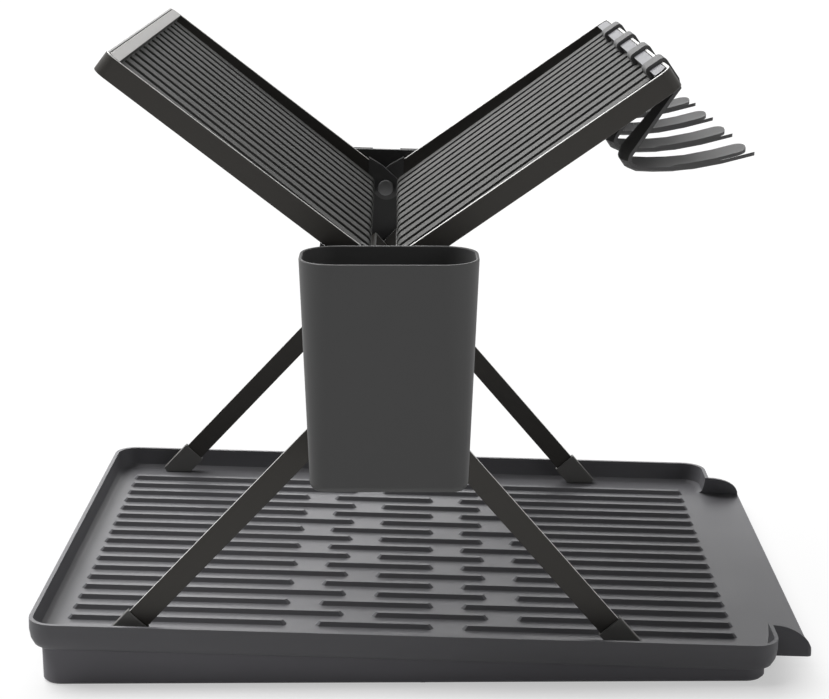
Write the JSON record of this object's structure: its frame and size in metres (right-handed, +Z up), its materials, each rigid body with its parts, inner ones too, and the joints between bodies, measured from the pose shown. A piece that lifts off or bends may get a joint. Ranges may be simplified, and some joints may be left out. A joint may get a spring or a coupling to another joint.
{
  "type": "foldable dish rack",
  "caption": "Folding dish rack with ribbed wings in a V on crossed strip legs, a cutlery holder, cup hooks and a ribbed drip tray with a spout",
  "frame": {"origin": "on the underside of the base, where its two webs cross, at the middle of the tray's length over the spout and of its depth", "axes": "+X towards the tray's spout, +Y to the back, away from the cutlery holder, +Z up"},
  "size_m": [0.4794, 0.4307, 0.3824],
  "materials": {
    "base_plastic": "fine matte",
    "tray_plastic": "satin",
    "hub_plastic": "fine matte",
    "foot_plastic": "fine matte",
    "holder_plastic": "fine matte",
    "hook_plastic": "satin",
    "wing_plastic": "satin",
    "pin_plastic": "satin",
    "strip_metal": "matte powder coat",
    "axle_steel": "brushed"
  },
  "bodies": {
    "base": {"tray_base": "base_plastic"},
    "tray": {"drip_tray": "tray_plastic"},
    "hub": {"hub_back": "hub_plastic", "hub_front": "hub_plastic", "wing_pin_back": "pin_plastic", "wing_pin_front": "pin_plastic", "leg_axle": "axle_steel", "axle_cap_back": "pin_plastic", "axle_cap_front": "pin_plastic"},
    "left_wing": {"left_wing_frame": "strip_metal", "left_wing_panel": "wing_plastic", "left_shoe_back": "hub_plastic", "left_shoe_front": "hub_plastic"},
    "right_wing": {"right_wing_frame": "strip_metal", "right_wing_panel": "wing_plastic", "right_shoe_back": "hub_plastic", "right_shoe_front": "hub_plastic"},
    "left_leg": {"left_leg_frame": "strip_metal", "left_foot_back": "foot_plastic", "left_foot_front": "foot_plastic"},
    "right_leg": {"right_leg_frame": "strip_metal", "right_foot_back": "foot_plastic", "right_foot_front": "foot_plastic"},
    "holder": {"cutlery_holder": "holder_plastic"},
    "hook_1": {"cup_hook_1": "hook_plastic"},
    "hook_2": {"cup_hook_2": "hook_plastic"},
    "hook_3": {"cup_hook_3": "hook_plastic"},
    "hook_4": {"cup_hook_4": "hook_plastic"}
  },
  "joints": [
    {"name": "tray_lift", "type": "slide", "parent": "base", "child": "tray", "axis": [0, 0, 1], "range_m": [0, 0.06]},
    {"name": "rack_rise", "type": "slide", "parent": "tray", "child": "hub", "axis": [0.0358, 0, 0.9994], "range_m": [0, 0.115]},
    {"name": "left_leg_fold", "type": "hinge", "parent": "hub", "child": "left_leg", "pos_m": [-0.0265, 0.0035, 0.19486], "axis": [0.0188, -0.9998, -0.0007], "range_deg": [0, 39]},
    {"name": "right_leg_fold", "type": "hinge", "parent": "hub", "child": "right_leg", "pos_m": [-0.0265, 0.0035, 0.19486], "axis": [-0.0188, 0.9998, 0.0007], "range_deg": [0, 39]},
    {"name": "left_wing_fold", "type": "hinge", "parent": "hub", "child": "left_wing", "pos_m": [-0.02462, 0.0035, 0.24743], "axis": [-0.0188, 0.9998, 0.0007], "range_deg": [0, 49]},
    {"name": "right_wing_fold", "type": "hinge", "parent": "hub", "child": "right_wing", "pos_m": [-0.02462, 0.0035, 0.24743], "axis": [0.0188, -0.9998, -0.0007], "range_deg": [0, 49]},
    {"name": "holder_lift", "type": "slide", "parent": "hub", "child": "holder", "axis": [0.0358, 0, 0.9994], "range_m": [0, 0.06]},
    {"name": "hook_1_shift", "type": "slide", "parent": "right_wing", "child": "hook_1", "axis": [-0.0188, 0.9998, 0.0007], "range_m": [-0.015, 0.015]},
    {"name": "hook_2_shift", "type": "slide", "parent": "right_wing", "child": "hook_2", "axis": [-0.0188, 0.9998, 0.0007], "range_m": [-0.015, 0.015]},
    {"name": "hook_3_shift", "type": "slide", "parent": "right_wing", "child": "hook_3", "axis": [-0.0188, 0.9998, 0.0007], "range_m": [-0.015, 0.015]},
    {"name": "hook_4_shift", "type": "slide", "parent": "right_wing", "child": "hook_4", "axis": [-0.0188, 0.9998, 0.0007], "range_m": [-0.015, 0.015]}
  ],
  "couplings": [
    {"joint": "left_leg_fold", "follows": "rack_rise", "rad_per_m": 5.88},
    {"joint": "right_leg_fold", "follows": "rack_rise", "rad_per_m": 5.88}
  ]
}
